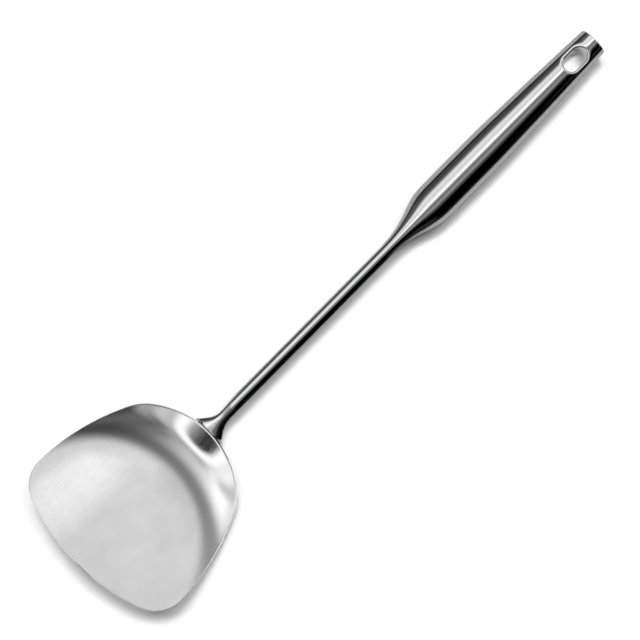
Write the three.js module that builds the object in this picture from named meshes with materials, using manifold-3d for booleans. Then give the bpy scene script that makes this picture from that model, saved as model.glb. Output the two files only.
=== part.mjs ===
// A stainless steel wok spatula: a pressed scoop blade, a round shank with a fishtail root and a
// hollow handle with a hanging slot. Millimetres, +Z up, butt end toward +X. It is modelled as it
// lies on a table, on the heel of its blade and the parallel part of its handle.
import * as THREE from "three";
import { mergeVertices } from "three/addons/utils/BufferGeometryUtils.js";
import Module from "manifold-3d";

const wasm = await Module();
wasm.setup();
const { clamp, lerp } = THREE.MathUtils;
const degree = Math.PI / 180;
const quarterTurn = 90 * degree;

// Blade outline: four arcs that run into each other from the middle of the rim round to the front
const heelArcRadius = 51.8;
const heelArcSweep = 35.4 * degree;
const shoulderArcRadius = 28.9;
const shoulderArcSweep = 27.1 * degree;
const sideArcRadius = 107;
const sideArcSweep = 27.5 * degree;
const cornerArcRadius = 18.2;
const cornerArcSweep = 70 * degree;

// Blade pressing: a flat floor with an oval edge, turned up at the heel into the back wall
const sheetThickness = 1.5;
const sheetEdgeRound = 0.35;
const floorReach = 46;
const floorInset = 5.3;
const wallRun = 29;
const wallBlend = 25;
const wallPitch = 45 * degree;
const bladeTilt = 20 * degree;

// Shank: a rod, forged flat at the root and bent level behind the rim
const rodRadius = 3.4;
const rodBendRadius = 47;
const neckRun = 130.6;
const rootHalfWidth = 11.5;
const rootNeckHalfWidth = 8.9;
const rootReach = 13;
const flareLength = 13;
const flarePower = 2.2;
const tangLength = 24;
const tangChamfer = 0.8;

// Handle: two thin half shells on one outline, closed by a cap at the butt
const handleLength = 152.5;
const handleRadius = 10.85;
const buttRadius = 7.9;
const noseLength = 36.9;
const parallelLength = 32.3;
const shellWall = 0.8;
const collarLength = 11;
const capDisc = 1.2;
const capWall = 0.8;
const capEdgeRound = 0.5;

// Hanging slot and the sleeve that lines it
const slotLength = 14.3;
const slotWidth = 8.4;
const slotLand = 7.3;
const sleeveWall = 0.8;
const lipHeight = 0.35;

// Welds and fits
const weldWidth = 1.2;
const rootBeadRadius = 0.6;
const fitGap = 0.3;
const cutOverrun = 5;

// How finely the curves are cut
const halfSpokes = 46;
const rodSides = 28;
const rodBendSteps = 8;
const handleSides = 48;
const slotEndSteps = 14;
const lipSteps = 6;
const beadSides = 8;
const beadSteps = 44;

// Where along a spoke of the blade its rings lie, closer together over the wall
const ringShares = [
  0, 0.3, 0.52, 0.6, 0.655, 0.7, 0.745, 0.79, 0.835, 0.88, 0.92, 0.96, 1,
];
// Nose and taper of the handle: share of its length, share of the change in radius
const noseShares = [
  [0, 0], [0.17, 0.04], [0.33, 0.17], [0.5, 0.395], [0.67, 0.7], [0.83, 0.93], [1, 1],
];
const taperShares = [
  [0, 0], [0.13, 0.05], [0.32, 0.22], [0.52, 0.4], [0.71, 0.62], [0.88, 0.83], [1, 1],
];
// Fishtail stations: down the wall's back from its tip to the rim, then along the flare
const hiddenShares = [1, 0.985, 0.94, 0.86, 0.76, 0.64, 0.45, 0.22];
const flareShares = [0, 0.08, 0.18, 0.3, 0.45, 0.62, 0.8, 1];
const tipRoundShare = 0.55;
const beadReachShare = 0.12;
const slopeProbeShare = 0.02;

const polishedSteel = { color: 0xd8d9da, roughness: 0.12, metalness: 1 };
const satinSteel = { color: 0xc6c7c9, roughness: 0.34, metalness: 1 };
const weldSteel = { color: 0xb9babc, roughness: 0.3, metalness: 1 };

function named(name, geometry, finish) {
  const mesh = new THREE.Mesh(geometry, new THREE.MeshStandardMaterial(finish));
  mesh.name = name;
  return mesh;
}

// A spun blank whose points are each pressed to their place on the finished form
function formed(profile, sides, place) {
  const blank = new THREE.LatheGeometry(profile, sides);
  const points = blank.attributes.position;
  for (let side = 0; side <= sides; side++) {
    for (let ring = 0; ring < profile.length; ring++) {
      const { x, y, z } = place(ring, side % sides);
      points.setXYZ(side * profile.length + ring, x, y, z);
    }
  }
  return blank;
}

function closedSolid(geometry) {
  const bare = geometry.clone();
  bare.deleteAttribute("normal");
  bare.deleteAttribute("uv");
  const merged = mergeVertices(bare.index ? bare.toNonIndexed() : bare);
  const triVerts = [];
  for (let i = 0; i < merged.index.count; i += 3) {
    const [a, b, c] = merged.index.array.slice(i, i + 3);
    if (a !== b && b !== c && c !== a) triVerts.push(a, b, c);
  }
  return new wasm.Manifold(
    new wasm.Mesh({
      numProp: 3,
      vertProperties: new Float32Array(merged.attributes.position.array),
      triVerts: new Uint32Array(triVerts),
    }),
  );
}

function asGeometry(solid) {
  const { vertProperties, triVerts } = solid.getMesh();
  const geometry = new THREE.BufferGeometry();
  geometry.setAttribute("position", new THREE.BufferAttribute(vertProperties, 3));
  geometry.setIndex(new THREE.BufferAttribute(triVerts, 1));
  geometry.computeVertexNormals();
  return geometry;
}

function cut(geometry, ...cutters) {
  const whole = closedSolid(geometry);
  return asGeometry(cutters.reduce((rest, cutter) => rest.subtract(closedSolid(cutter)), whole));
}

// A table of shares read as a smooth curve
function eased(shares, along) {
  const curve = new THREE.SplineCurve(shares.map(([x, y]) => new THREE.Vector2(x, y)));
  let low = 0;
  let high = 1;
  for (let i = 0; i < 30; i++) {
    const middle = (low + high) / 2;
    if (curve.getPoint(middle).x < along) low = middle;
    else high = middle;
  }
  return curve.getPoint(high).y;
}

// Blade
function halfOutline() {
  const outline = new THREE.CurvePath();
  const end = new THREE.Vector2(wallRun, 0);
  let heading = quarterTurn;
  const follow = (radius, sweep) => {
    const start = heading - quarterTurn;
    const x = end.x - radius * Math.cos(start);
    const y = end.y - radius * Math.sin(start);
    outline.add(new THREE.EllipseCurve(x, y, radius, radius, start, start + sweep));
    end.set(x + radius * Math.cos(start + sweep), y + radius * Math.sin(start + sweep));
    heading += sweep;
  };
  follow(heelArcRadius, heelArcSweep);
  follow(shoulderArcRadius, shoulderArcSweep);
  follow(sideArcRadius, sideArcSweep);
  follow(cornerArcRadius, cornerArcSweep);
  const frontSweep = 3 * quarterTurn - heading;
  follow(end.y / Math.sin(frontSweep), frontSweep);
  return outline.getSpacedPoints(halfSpokes);
}

const halfRim = halfOutline();
// The floor's oval edge stays this far inside the sides where the blade is widest
const floorHalfWidth = Math.max(...halfRim.map(({ y }) => y)) - floorInset;

// Height of the sheet's upper face over the flat floor; x runs back from the heel crease
function pressedHeight(x, y) {
  const ahead = x + floorReach;
  const beyond = Math.hypot(ahead / floorReach, y / floorHalfWidth);
  if (beyond <= 1) return 0;
  const run = Math.hypot(ahead, y) * (1 - 1 / beyond);
  const turned = Math.min(run / wallBlend, 1);
  const rise = wallBlend * (turned ** 3 - turned ** 4 / 2) + Math.max(run - wallBlend, 0);
  return rise * Math.tan(wallPitch);
}

// A point of the sheet, at a depth below its upper face
function pressedPoint(x, y, depth) {
  const probe = sheetThickness * slopeProbeShare;
  const slopeX = (pressedHeight(x + probe, y) - pressedHeight(x - probe, y)) / (2 * probe);
  const slopeY = (pressedHeight(x, y + probe) - pressedHeight(x, y - probe)) / (2 * probe);
  const normal = new THREE.Vector3(-slopeX, -slopeY, 1).normalize();
  return new THREE.Vector3(x, y, pressedHeight(x, y)).addScaledVector(normal, -depth);
}

// The pressed sheet, or a larger copy of it that clears its neighbours
function pressedSheet(clearance) {
  const outline = [
    ...halfRim,
    ...halfRim.slice(1, -1).reverse().map(({ x, y }) => new THREE.Vector2(x, -y)),
  ];
  const centre = new THREE.Vector2(-floorReach, 0);
  const top = -clearance;
  const under = sheetThickness + clearance;
  const lower = ringShares.map((share) => ({ share, depth: under, inset: share < 1 ? 0 : sheetEdgeRound }));
  const upper = lower.map((ring) => ({ ...ring, depth: top })).reverse();
  const rings = [
    ...lower,
    { share: 1, depth: under - sheetEdgeRound, inset: 0 },
    { share: 1, depth: top + sheetEdgeRound, inset: 0 },
    ...upper,
  ];
  const profile = rings.map(({ share, depth }) => new THREE.Vector2(share, -depth));
  return formed(profile, outline.length, (ring, side) => {
    const { share, depth, inset } = rings[ring];
    const spoke = outline[side].clone().sub(centre);
    const reach = (spoke.length() + clearance) * share - inset;
    const { x, y } = spoke.setLength(reach).add(centre);
    return pressedPoint(x, y, depth);
  });
}

function makeBlade() {
  const blade = named("blade", pressedSheet(0), satinSteel);
  blade.rotation.y = bladeTilt;
  blade.updateMatrixWorld();
  blade.position.z = -new THREE.Box3().setFromObject(blade, true).min.z;
  blade.updateMatrixWorld();
  return blade;
}

const blade = makeBlade();

// Line of the shank: down the back of the wall, round the bend and level into the handle
const neckPitch = wallPitch - bladeTilt;
const rootDrop = fitGap + rodRadius ** 2 / rootNeckHalfWidth;
const rootStart = pressedPoint(wallRun, 0, sheetThickness + rootDrop).applyMatrix4(blade.matrixWorld);
const bendStart =
  (handleRadius - rootStart.z) / Math.sin(neckPitch) - rodBendRadius * Math.tan(neckPitch / 2);
const bendEnd = bendStart + rodBendRadius * neckPitch;

// A point of that line and its upward direction; s runs back from the rim
function neckLine(s) {
  const turned = clamp((s - bendStart) / rodBendRadius, 0, neckPitch);
  const pitch = neckPitch - turned;
  const sloped = Math.min(s, bendStart);
  const level = Math.max(s - bendEnd, 0);
  const point = new THREE.Vector3(
    rootStart.x + sloped * Math.cos(neckPitch) + level +
      rodBendRadius * (Math.sin(neckPitch) - Math.sin(pitch)),
    0,
    rootStart.z + sloped * Math.sin(neckPitch) +
      rodBendRadius * (Math.cos(pitch) - Math.cos(neckPitch)),
  );
  return { point, up: new THREE.Vector3(-Math.sin(pitch), 0, Math.cos(pitch)) };
}

const rimX = pressedPoint(wallRun, 0, 0).applyMatrix4(blade.matrixWorld).x;
const noseX = rimX + neckRun;
const noseS = bendEnd + noseX - neckLine(bendEnd).point.x;

// Outer radius of the handle; x runs back from the start of its nose
function handleRadiusAt(x) {
  const taperLength = handleLength - noseLength - parallelLength;
  if (x < noseLength) return lerp(rodRadius, handleRadius, eased(noseShares, x / noseLength));
  const taper = clamp((x - noseLength - parallelLength) / taperLength, 0, 1);
  return lerp(handleRadius, buttRadius, eased(taperShares, taper));
}

// Half width and half thickness of the fishtail; forging keeps the rod's section area
function rootSection(s) {
  const hidden = Math.max(-s / rootReach, 0);
  const flare = Math.max(1 - Math.max(s, 0) / flareLength, 0) ** flarePower;
  const width = lerp(lerp(rodRadius, rootNeckHalfWidth, flare), rootHalfWidth, hidden);
  const tip = Math.max((hidden - tipRoundShare) / (1 - tipRoundShare), 0);
  const rounding = Math.sqrt(Math.max(1 - tip ** 2, 0));
  return { halfWidth: width * rounding, halfThickness: (rodRadius ** 2 / width) * rounding };
}

function round(s, radius) {
  return { s, halfWidth: radius, halfThickness: radius };
}

function makeShank() {
  const rootStations = [
    ...hiddenShares.map((share) => -rootReach * share),
    ...flareShares.map((share) => flareLength * share),
  ].map((s) => ({ s, ...rootSection(s) }));
  const bendStations = Array.from({ length: rodBendSteps }, (_, step) =>
    round(lerp(Math.min(flareLength, bendEnd), bendEnd, (step + 1) / rodBendSteps), rodRadius));
  const collarStations = noseShares
    .map(([share]) => noseLength * share)
    .filter((x) => x < collarLength)
    .map((x) => round(noseS + x, handleRadiusAt(x)));
  const tangStart = noseS + collarLength;
  const tangEnd = tangStart + tangLength;
  const stations = [
    ...rootStations,
    ...bendStations,
    ...collarStations,
    round(tangStart, handleRadiusAt(collarLength)),
    round(tangStart, rodRadius),
    round(tangEnd - tangChamfer, rodRadius),
    round(tangEnd, rodRadius - tangChamfer),
    round(tangEnd, 0),
  ];
  const profile = stations.map(({ s, halfWidth }) => new THREE.Vector2(halfWidth, s));
  const rod = formed(profile, rodSides, (ring, side) => {
    const { s, halfWidth, halfThickness } = stations[ring];
    const angle = (side / rodSides) * 4 * quarterTurn;
    const { point, up } = neckLine(s);
    // The hidden part of the root stays flush along the wall as it thins
    const seat = s < 0 ? rootSection(0).halfThickness - halfThickness : 0;
    point.addScaledVector(up, seat + halfThickness * Math.sin(angle));
    point.y += halfWidth * Math.cos(angle);
    return point;
  });
  const clearSheet = pressedSheet(fitGap).applyMatrix4(blade.matrixWorld);
  return named("shank", cut(rod, clearSheet), polishedSteel);
}

// Weld bead round the hidden edge of the fishtail, under the wall
function makeRootWeld() {
  const side = hiddenShares
    .filter((share) => share > beadReachShare && share < 1)
    .map((share) => new THREE.Vector2(-rootReach * share, rootSection(-rootReach * share).halfWidth));
  const edge = [
    ...side.map(({ x, y }) => new THREE.Vector2(x, -y)).reverse(),
    new THREE.Vector2(-rootReach, 0),
    ...side,
  ];
  const offset = fitGap + rootBeadRadius;
  const line = edge.map((at, i) => {
    const along = edge[Math.min(i + 1, edge.length - 1)].clone().sub(edge[Math.max(i - 1, 0)]);
    const { x, y } = new THREE.Vector2(-along.y, along.x).setLength(offset).add(at);
    const seat = pressedPoint(wallRun + x * Math.cos(wallPitch), y, sheetThickness + offset);
    return seat.applyMatrix4(blade.matrixWorld);
  });
  const section = new THREE.Shape().absarc(0, 0, rootBeadRadius, 0, 4 * quarterTurn);
  const bead = new THREE.ExtrudeGeometry(section, {
    steps: beadSteps,
    curveSegments: beadSides,
    bevelEnabled: false,
    extrudePath: new THREE.CatmullRomCurve3(line),
  });
  return named("root_weld", bead, weldSteel);
}

// Turns a profile of radius and x about the handle's axis
function turned(points) {
  const profile = points.map(([radius, x]) => new THREE.Vector2(radius, x));
  return new THREE.LatheGeometry(profile, handleSides).rotateZ(-quarterTurn);
}

const shellStart = collarLength + weldWidth;
const shellEnd = handleLength - capDisc;

// Stations of the shell's outline: both mouths and every point of the tables between them
function shellStations() {
  const taperStart = noseLength + parallelLength;
  const inner = [
    ...noseShares.map(([share]) => noseLength * share),
    ...taperShares.map(([share]) => lerp(taperStart, handleLength, share)),
  ];
  const extra = inner.slice(1).map((x, i) => (x + inner[i]) / 2).filter((x) => x < noseLength);
  const between = [...inner, ...extra].filter((x) => x > shellStart && x < shellEnd);
  return [shellStart, ...between.sort((a, b) => a - b), shellEnd];
}

function shellBlank() {
  const outer = shellStations().map((x) => [handleRadiusAt(x), x]);
  const inner = outer.map(([radius, x]) => [radius - shellWall, x]).reverse();
  return turned([...outer, ...inner, outer[0]]);
}

// A block that covers one side of the handle, above or below its mid plane
function halfSpace(sign) {
  const height = handleRadius + cutOverrun;
  const block = new THREE.BoxGeometry(handleLength + 2 * cutOverrun, 2 * height, height);
  return block.translate(handleLength / 2, 0, (sign * height) / 2);
}

const slotX = handleLength - slotLand - slotLength / 2;
const slotCore = (slotLength - slotWidth) / 2;

function slotPrism(clearance) {
  const radius = slotWidth / 2 + clearance;
  const outline = new THREE.Shape()
    .absarc(slotCore, 0, radius, -quarterTurn, quarterTurn)
    .absarc(-slotCore, 0, radius, quarterTurn, 3 * quarterTurn);
  const height = handleRadius + cutOverrun;
  const prism = new THREE.ExtrudeGeometry(outline, {
    depth: 2 * height,
    curveSegments: slotEndSteps,
    bevelEnabled: false,
  });
  return prism.translate(slotX, 0, -height);
}

function makeShell(name, removedSide) {
  const window = slotPrism(sleeveWall + fitGap);
  return named(name, cut(shellBlank(), halfSpace(removedSide), window), polishedSteel);
}

// Sleeve through the slot: its rounded mouths follow the curve of the handle
function makeSleeve() {
  const lip = Array.from({ length: lipSteps + 1 }, (_, step) => (step / lipSteps) * 2 * quarterTurn);
  const mouth = lip.map((angle) => ({
    out: (sleeveWall * (1 + Math.cos(angle))) / 2,
    proud: lipHeight * Math.sin(angle),
    sign: 1,
  }));
  const rings = [...mouth, ...mouth.map((ring) => ({ ...ring, sign: -1 })).reverse(), mouth[0]];
  const around = [1, -1].flatMap((end) =>
    Array.from({ length: slotEndSteps + 1 }, (_, step) => ({
      centre: end * slotCore,
      angle: ((step / slotEndSteps) * 2 - end) * quarterTurn,
    })));
  const profile = rings.map(({ out, sign }) => new THREE.Vector2(slotWidth / 2 + out, sign * handleRadius));
  const sleeve = formed(profile, around.length, (ring, side) => {
    const { out, proud, sign } = rings[ring];
    const { centre, angle } = around[side];
    const x = slotX + centre + (slotWidth / 2 + out) * Math.cos(angle);
    const y = (slotWidth / 2 + out) * Math.sin(angle);
    const surface = Math.sqrt(handleRadiusAt(x) ** 2 - y ** 2);
    return new THREE.Vector3(x, y, sign * (surface + proud));
  });
  return named("slot_sleeve", sleeve, polishedSteel);
}

function makeCap() {
  const seamRadius = handleRadiusAt(shellEnd);
  const skirtRadius = seamRadius - shellWall - fitGap;
  const skirtEnd = shellEnd - (slotLand - capDisc - sleeveWall - 2 * fitGap);
  const corner = Array.from({ length: lipSteps + 1 }, (_, step) => {
    const angle = (step / lipSteps) * quarterTurn;
    return [
      buttRadius - capEdgeRound * (1 - Math.cos(angle)),
      handleLength - capEdgeRound * (1 - Math.sin(angle)),
    ];
  });
  const cap = turned([
    [0, shellEnd],
    [skirtRadius - capWall, shellEnd],
    [skirtRadius - capWall, skirtEnd],
    [skirtRadius, skirtEnd],
    [skirtRadius, shellEnd],
    [seamRadius, shellEnd],
    ...corner,
    [0, handleLength],
  ]);
  return named("end_cap", cap, polishedSteel);
}

// Weld ring between the shank's collar and the mouth of the shells
function makeNoseWeld() {
  const bore = rodRadius + fitGap;
  const ring = turned([
    [handleRadiusAt(collarLength), collarLength],
    [handleRadiusAt(shellStart), shellStart],
    [bore, shellStart],
    [bore, collarLength],
    [handleRadiusAt(collarLength), collarLength],
  ]);
  return named("nose_weld", ring, weldSteel);
}

const handle = new THREE.Group();
handle.position.set(noseX, 0, handleRadius);
handle.add(
  makeNoseWeld(),
  makeShell("upper_handle_shell", -1),
  makeShell("lower_handle_shell", 1),
  makeSleeve(),
  makeCap(),
);

const spatula = new THREE.Group();
spatula.name = "wok_spatula";
spatula.add(blade, makeShank(), makeRootWeld(), handle);
spatula.updateMatrixWorld(true);

// The origin lies under the middle of the whole piece, on the table
const extent = new THREE.Box3().setFromObject(spatula, true);
spatula.position.x = -(extent.min.x + extent.max.x) / 2;
spatula.updateMatrixWorld(true);

export default spatula;
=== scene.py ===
from math import atan, ceil, cos, hypot, pi, radians, sin, sqrt, tan

import bmesh
import bpy
from mathutils import Matrix, Vector


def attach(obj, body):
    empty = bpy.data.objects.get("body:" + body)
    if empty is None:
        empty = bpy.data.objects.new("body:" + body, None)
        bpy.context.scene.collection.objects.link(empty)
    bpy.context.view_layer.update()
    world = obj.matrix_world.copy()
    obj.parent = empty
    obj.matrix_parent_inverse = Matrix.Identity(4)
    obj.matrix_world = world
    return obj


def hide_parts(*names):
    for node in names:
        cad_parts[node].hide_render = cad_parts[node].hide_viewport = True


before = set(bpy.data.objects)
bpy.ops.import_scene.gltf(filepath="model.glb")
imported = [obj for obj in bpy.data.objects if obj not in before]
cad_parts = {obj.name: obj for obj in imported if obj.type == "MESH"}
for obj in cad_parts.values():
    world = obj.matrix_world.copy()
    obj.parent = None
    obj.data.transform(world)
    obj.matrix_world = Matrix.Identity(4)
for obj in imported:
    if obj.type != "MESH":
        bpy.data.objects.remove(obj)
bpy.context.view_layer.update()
print("frame loaded")

# Pieces are modelled in millimetres and brought to metres when they are finished
toMetres = 0.001
mergeReach = 0.001
seamHold = 0.05       # an extra loop this close to a seam lets the polish run on over it without a kink


def lerp(a, b, share):
    return a + (b - a) * share


def clamp(value, low, high):
    return max(low, min(high, value))


def growRing(bm, edges):
    grown = bmesh.ops.extrude_edge_only(bm, edges=edges)["geom"]
    verts = [part for part in grown if isinstance(part, bmesh.types.BMVert)]
    fresh = set(verts)
    edges = [part for part in grown
             if isinstance(part, bmesh.types.BMEdge) and set(part.verts) <= fresh]
    return verts, edges


def holdSeam(bm, at, normal):
    bmesh.ops.bisect_plane(bm, geom=bm.verts[:] + bm.edges[:] + bm.faces[:],
                           dist=mergeReach, plane_co=at, plane_no=normal)


def finishPiece(bm, name, node, material, sharpAngle=38):
    for edge in bm.edges:
        edge.smooth = len(edge.link_faces) == 2 and edge.calc_face_angle() < radians(sharpAngle)
    for face in bm.faces:
        face.smooth = True
    bmesh.ops.scale(bm, vec=(toMetres,) * 3, verts=bm.verts)
    mesh = bpy.data.meshes.new(name)
    bm.to_mesh(mesh)
    bm.free()
    mesh.materials.append(material)
    piece = bpy.data.objects.new(name, mesh)
    bpy.context.scene.collection.objects.link(piece)
    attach(piece, "root")
    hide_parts(node)
    print(name, "has", len(mesh.polygons), "faces")
    return piece


# Small helpers for node trees
def addNode(tree, kind, inputs=None, **settings):
    node = tree.nodes.new(kind)
    for name, value in settings.items():
        setattr(node, name, value)
    for name, value in (inputs or {}).items():
        if isinstance(value, bpy.types.NodeSocket):
            tree.links.new(value, node.inputs[name])
        else:
            node.inputs[name].default_value = value
    return node


def mathNode(tree, operation, first, second=0.0):
    return addNode(tree, "ShaderNodeMath", {0: first, 1: second}, operation=operation).outputs[0]


def product(tree, first, *others):
    for other in others:
        first = mathNode(tree, "MULTIPLY", first, other)
    return first


def spread(tree, value, low, high, newLow, newHigh, curve="LINEAR"):
    ranged = addNode(tree, "ShaderNodeMapRange", {
        "Value": value, "From Min": low, "From Max": high, "To Min": newLow, "To Max": newHigh,
    }, interpolation_type=curve)
    return ranged.outputs["Result"]


def grey(level):
    return level, level, level, 1


def greyNode(tree, level):
    return addNode(tree, "ShaderNodeCombineColor", {0: level, 1: level, 2: level}).outputs[0]


def noise(tree, vector, scale, detail, roughness=0.5, distortion=0):
    return addNode(tree, "ShaderNodeTexNoise", {
        "Vector": vector, "Scale": scale, "Detail": detail,
        "Roughness": roughness, "Distortion": distortion,
    }).outputs[0]


# A noise drawn out into lines: its turn in degrees and how tight it is along x, y and z
def lineNoise(tree, place, turn, tightness, detail, roughness=0.5, distortion=0):
    way = addNode(tree, "ShaderNodeMapping", {
        "Vector": place, "Rotation": (0, 0, radians(turn)), "Scale": tightness})
    return noise(tree, way.outputs[0], 1, detail, roughness, distortion)


noiseRange = (0.3, 0.7)       # where nearly all of a noise lies


def fromNoise(tree, value, low, high):
    return spread(tree, value, *noiseRange, low, high)


def newMaterial(name, tone):
    material = bpy.data.materials.new(name)
    material.use_nodes = True
    tree = material.node_tree
    shader = tree.nodes["Principled BSDF"]
    shader.inputs["Base Color"].default_value = grey(tone)
    shader.inputs["Metallic"].default_value = 1
    place = addNode(tree, "ShaderNodeTexCoord").outputs["Object"]
    return material, tree, shader, place


def addBump(tree, shader, height, strength, depth):
    bump = addNode(tree, "ShaderNodeBump",
                   {"Height": height, "Strength": strength, "Distance": depth})
    tree.links.new(bump.outputs[0], shader.inputs["Normal"])


# The steel's finishes; lengths in these patterns are in metres
polish = {
    "tone": 0.76,
    "lineTightness": (26, 1500, 1500),
    "lineStrength": 0.35,
    "lineDepth": 0.000012,
    "roughness": (0.03, 0.075),
    "haze": 0.05,                  # extra roughness where the polish is tired
    "hazeScale": 55,
    "hazeRange": (0.5, 0.75),
}


def polishedSteel():
    material, tree, shader, place = newMaterial("mirror_polished_steel", polish["tone"])
    lines = lineNoise(tree, place, 0, polish["lineTightness"], 3, roughness=0.6)
    haze = noise(tree, place, polish["hazeScale"], 4)
    fine = fromNoise(tree, lines, *polish["roughness"])
    tired = spread(tree, haze, *polish["hazeRange"], 0, polish["haze"])
    tree.links.new(mathNode(tree, "ADD", fine, tired), shader.inputs["Roughness"])
    addBump(tree, shader, lines, polish["lineStrength"], polish["lineDepth"])
    return material


weldLook = {
    "tone": 0.62,
    "roughness": (0.22, 0.4),
    "grain": 900,
    "grainStrength": 0.6,
    "grainDepth": 0.00006,
}


def weldSteel():
    material, tree, shader, place = newMaterial("brushed_weld_steel", weldLook["tone"])
    grain = noise(tree, place, weldLook["grain"], 5)
    tree.links.new(fromNoise(tree, grain, *weldLook["roughness"]), shader.inputs["Roughness"])
    addBump(tree, shader, grain, weldLook["grainStrength"], weldLook["grainDepth"])
    return material


# Blade: a sheet pressed inside an outline of tangent arcs, lying heel down
blade = {
    "heel": (-127.6468, 0, 3.7153),    # where the floor starts to turn up, on the middle line
    "tilt": 20,                        # degrees
    "rimArcs": [(51.8, 35.4), (28.9, 27.1), (107, 27.5), (18.2, 70)],  # radius, sweep; heel to front
    "spokeStep": 0.9,
    "sheet": 1.5,
    "edgeRound": 0.18,
    "edgeSegments": 4,
    "sharpAngle": 60,
    "floorReach": 46,
    "floorInset": 5.3,                 # the oval stays this far inside the widest part
    "wallRun": 29,
    "wallBlend": 25,
    "wallPitch": 45,
    "wallRings": 44,
    "wallFromShare": 0.6,              # where on a spoke the close rings start
    "floorShares": (0.5, 0.38, 0.25, 0.12),
}
bladePlace = Matrix.Translation(blade["heel"]) @ Matrix.Rotation(radians(blade["tilt"]), 4, "Y")


# Arc by arc from the heel to the front; the last arc meets the middle line square
def rimLine(bm):
    end = bm.verts.new((blade["wallRun"], 0, 0))
    heading = 90
    for radius, sweep in [*blade["rimArcs"], (None, None)]:
        sweep = sweep or 270 - heading
        radius = radius or end.co.y / sin(radians(sweep))
        start = radians(heading - 90)
        centre = end.co - radius * Vector((cos(start), sin(start), 0))
        steps = ceil(radius * radians(sweep) / blade["spokeStep"])
        turned = bmesh.ops.spin(bm, geom=[end], cent=centre, axis=(0, 0, 1),
                                angle=radians(sweep), steps=steps)
        end = [part for part in turned["geom_last"] if isinstance(part, bmesh.types.BMVert)][0]
        heading += sweep
    bmesh.ops.mirror(bm, geom=bm.verts[:] + bm.edges[:], matrix=Matrix.Identity(4),
                     merge_dist=10 * mergeReach, axis="Y")
    return bm.edges[:]


def pressedHeight(x, y):
    ahead = x + blade["floorReach"]
    beyond = hypot(ahead / blade["floorReach"], y / blade["halfWidth"])
    if beyond <= 1:
        return 0
    run = hypot(ahead, y) * (1 - 1 / beyond)
    turned = min(run / blade["wallBlend"], 1)
    rise = blade["wallBlend"] * (turned ** 3 - turned ** 4 / 2) + max(run - blade["wallBlend"], 0)
    return rise * tan(radians(blade["wallPitch"]))


# A point under the sheet's upper face
def underSheet(x, y, depth):
    probe = 0.03
    slopeX = (pressedHeight(x + probe, y) - pressedHeight(x - probe, y)) / (2 * probe)
    slopeY = (pressedHeight(x, y + probe) - pressedHeight(x, y - probe)) / (2 * probe)
    normal = Vector((-slopeX, -slopeY, 1)).normalized()
    return bladePlace @ (Vector((x, y, pressedHeight(x, y))) - normal * depth)


# Its finish. Places are counted in the floor's oval: 1 is the line where the floor turns up
bladeFinish = {
    "tone": 0.76,
    "floorRoughness": 0.3,
    "buffedRoughness": 0.17,           # a smoother stretch along the upper left side
    "buffedFrom": (0.15, 0.62),        # it fades in from the middle line to the left,
    "buffedTo": (0.86, 1.06),          # out where the floor turns up,
    "buffedFront": (-0.9, -0.3, 0.25),    # and is weaker at the front and at the heel: from, to, share
    "buffedHeel": (1.0, 0.5, 0.5),
    "mottle": 0.02,
    "mottleScale": 90,
    "floorToWall": (1.04, 1.13),
    "creaseRoughness": 0.26,
    "wallRoughness": 0.07,
    "creaseToWall": (1.08, 1.4),
    "satinGrain": 2600,
    "satinStrength": 0.4,
    "satinDepth": 0.00001,
    "brushing": (140, 3),              # radial brush lines on the wall: round it, and outwards
    "brushScale": 3,
    "brushRange": (0.3, 0.75),
    "brushRoughness": (-0.03, 0.055),
    "strokeTurn": 12,                  # strokes of the buffing wheel
    "strokeTightness": (150, 800, 150),
    "strokeRoughness": (0.015, 0.055),    # on the floor, and in its smoother stretch
    "scratchTurn": 62,
    "scratchTightness": (14, 260, 14),
    "scratchWidth": 0.012,
    "scratchDepth": 0.5,
    "wearReach": 0.0005,
    "wearRange": (0.98, 0.8),          # cosine of the turn, from a plain face to a worn edge
    "wearRoughness": 0.12,
    "wearTone": 0.9,
}


# Where the surface turns sharply: 0 on a face, 1 on a worn edge
def wornEdges(tree):
    rounded = addNode(tree, "ShaderNodeBevel", {"Radius": bladeFinish["wearReach"]}, samples=4)
    facing = addNode(tree, "ShaderNodeNewGeometry").outputs["Normal"]
    same = addNode(tree, "ShaderNodeVectorMath", {0: rounded.outputs[0], 1: facing},
                   operation="DOT_PRODUCT")
    return spread(tree, same.outputs["Value"], *bladeFinish["wearRange"], 0, 1)


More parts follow.
